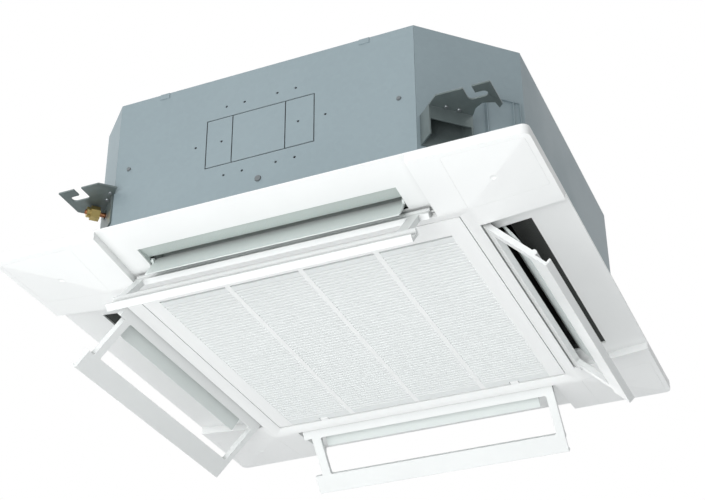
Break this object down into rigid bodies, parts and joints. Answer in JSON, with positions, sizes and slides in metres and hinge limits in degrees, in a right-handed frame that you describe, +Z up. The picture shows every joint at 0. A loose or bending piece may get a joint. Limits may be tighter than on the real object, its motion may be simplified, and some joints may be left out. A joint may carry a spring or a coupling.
{
  "type": "four-way ceiling cassette air conditioner",
  "caption": "Four-way ceiling cassette air conditioner: sheet casing with hanger brackets, square panel with hinged intake grille, tilting louvers and swing-out draught frames.",
  "frame": {"origin": "centre of the decoration panel, on the ceiling plane that the panel's rim rests against", "axes": "+Z up into the ceiling void, -Y towards the front side, +X to the right seen from the front"},
  "size_m": [0.7, 0.7, 0.3414],
  "materials": {
    "casing_steel": "zinc-coated grey-green sheet, satin",
    "bracket_steel": "zinc-coated sheet, darker and duller",
    "screw_steel": "bright zinc",
    "panel_white": "moulded white plastic, fine satin",
    "grille_grey": "moulded cool light grey plastic",
    "louver_white": "moulded white plastic, satin",
    "duct_foam": "white expanded foam with a smooth skin",
    "liner_foam": "dark closed-cell foam",
    "gasket_foam": "black soft foam",
    "fin_aluminium": "thin fins, faint blue coating",
    "copper": "bare copper tube",
    "brass": "bright machined brass with a reddish cast",
    "fan_plastic": "glass-filled dark grey plastic",
    "bell_plastic": "dark grey plastic sheet",
    "motor_black": "black paint, half gloss",
    "bush_rubber": "black rubber",
    "shaft_steel": "ground steel",
    "pump_plastic": "off-white plastic",
    "drain_plastic": "grey-white plastic",
    "float_plastic": "foamed white plastic",
    "board_green": "green circuit board",
    "terminal_plastic": "black plastic",
    "gear_motor": "grey plastic case",
    "filter_mesh": "dark fine mesh in a plastic rim"
  },
  "bodies": {
    "unit": {"casing_wall": "casing_steel", "duct_knockout": "casing_steel", "casing_top": "casing_steel", "foam_liner": "liner_foam", "casing_screws": "screw_steel", "service_plate": "casing_steel", "cable_grommet": "bush_rubber", "bracket_rivets": "screw_steel", "drain_pan": "duct_foam", "bell_mouth": "bell_plastic", "coil_fins": "fin_aluminium", "coil_bends": "copper", "fan_motor": "motor_black", "motor_bushes": "bush_rubber", "motor_plate": "casing_steel", "gas_pipe": "copper", "liquid_pipe": "copper", "flare_nuts": "brass", "drain_pump": "pump_plastic", "drain_socket": "drain_plastic", "float_switch": "pump_plastic", "control_box": "casing_steel", "control_lid": "casing_steel", "circuit_board": "board_green", "terminal_block": "terminal_plastic", "panel_frame": "panel_white", "panel_screws": "screw_steel", "panel_gasket": "gasket_foam", "louver_motors": "gear_motor", "frame_motors": "gear_motor", "hanger_bracket_front_right": "bracket_steel", "corner_cover_front_right": "panel_white", "hanger_bracket_back_right": "bracket_steel", "corner_cover_back_right": "panel_white", "hanger_bracket_back_left": "bracket_steel", "corner_cover_back_left": "panel_white", "hanger_bracket_front_left": "bracket_steel", "corner_cover_front_left": "panel_white", "air_outlet_front": "duct_foam", "air_outlet_right": "duct_foam", "air_outlet_back": "duct_foam", "air_outlet_left": "duct_foam"},
    "fan": {"turbo_fan": "fan_plastic", "motor_shaft": "shaft_steel", "fan_nut": "screw_steel"},
    "pump_rotor": {"pump_impeller": "pump_plastic"},
    "float": {"float_ring": "float_plastic"},
    "grille": {"intake_grille": "grille_grey", "air_filter": "filter_mesh", "grille_hinge_pins": "shaft_steel"},
    "catch_left": {"grille_catch_left": "grille_grey"},
    "catch_right": {"grille_catch_right": "grille_grey"},
    "louver_front": {"louver_front": "louver_white"},
    "draft_frame_front": {"draft_frame_front": "panel_white"},
    "louver_right": {"louver_right": "louver_white"},
    "draft_frame_right": {"draft_frame_right": "panel_white"},
    "louver_back": {"louver_back": "louver_white"},
    "draft_frame_back": {"draft_frame_back": "panel_white"},
    "louver_left": {"louver_left": "louver_white"},
    "draft_frame_left": {"draft_frame_left": "panel_white"}
  },
  "joints": [
    {"name": "louver_front_tilt", "type": "hinge", "parent": "unit", "child": "louver_front", "pos_m": [0, -0.264, -0.0042], "axis": [1, 0, 0], "range_deg": [-56, 5]},
    {"name": "draft_frame_front_swing", "type": "hinge", "parent": "unit", "child": "draft_frame_front", "pos_m": [0, -0.249, -0.017], "axis": [1, 0, 0], "range_deg": [-53.5, 0]},
    {"name": "louver_right_tilt", "type": "hinge", "parent": "unit", "child": "louver_right", "pos_m": [0.264, 0, -0.0042], "axis": [0, 1, 0], "range_deg": [-56, 5]},
    {"name": "draft_frame_right_swing", "type": "hinge", "parent": "unit", "child": "draft_frame_right", "pos_m": [0.249, 0, -0.017], "axis": [0, 1, 0], "range_deg": [-50, 0]},
    {"name": "louver_back_tilt", "type": "hinge", "parent": "unit", "child": "louver_back", "pos_m": [0, 0.264, -0.0042], "axis": [-1, 0, 0], "range_deg": [-56, 5]},
    {"name": "draft_frame_back_swing", "type": "hinge", "parent": "unit", "child": "draft_frame_back", "pos_m": [0, 0.249, -0.017], "axis": [-1, 0, 0], "range_deg": [-52.5, 0]},
    {"name": "louver_left_tilt", "type": "hinge", "parent": "unit", "child": "louver_left", "pos_m": [-0.264, 0, -0.0042], "axis": [0, -1, 0], "range_deg": [-56, 5]},
    {"name": "draft_frame_left_swing", "type": "hinge", "parent": "unit", "child": "draft_frame_left", "pos_m": [-0.249, 0, -0.017], "axis": [0, -1, 0], "range_deg": [-50.5, 0]},
    {"name": "fan_spin", "type": "hinge", "parent": "unit", "child": "fan", "pos_m": [0, 0, 0.17], "axis": [0, 0, 1], "continuous": true},
    {"name": "pump_spin", "type": "hinge", "parent": "unit", "child": "pump_rotor", "pos_m": [0.234, 0.232, 0.06], "axis": [0, 0, 1], "continuous": true},
    {"name": "float_lift", "type": "slide", "parent": "unit", "child": "float", "axis": [0, 0, 1], "range_m": [0, 0.008]},
    {"name": "grille_swing", "type": "hinge", "parent": "unit", "child": "grille", "pos_m": [0, 0.2208, -0.014], "axis": [1, 0, 0], "range_deg": [0, 88]},
    {"name": "catch_left_slide", "type": "slide", "parent": "grille", "child": "catch_left", "axis": [0, 1, 0], "range_m": [-0.004, 0.006]},
    {"name": "catch_right_slide", "type": "slide", "parent": "grille", "child": "catch_right", "axis": [0, 1, 0], "range_m": [-0.004, 0.006]}
  ]
}
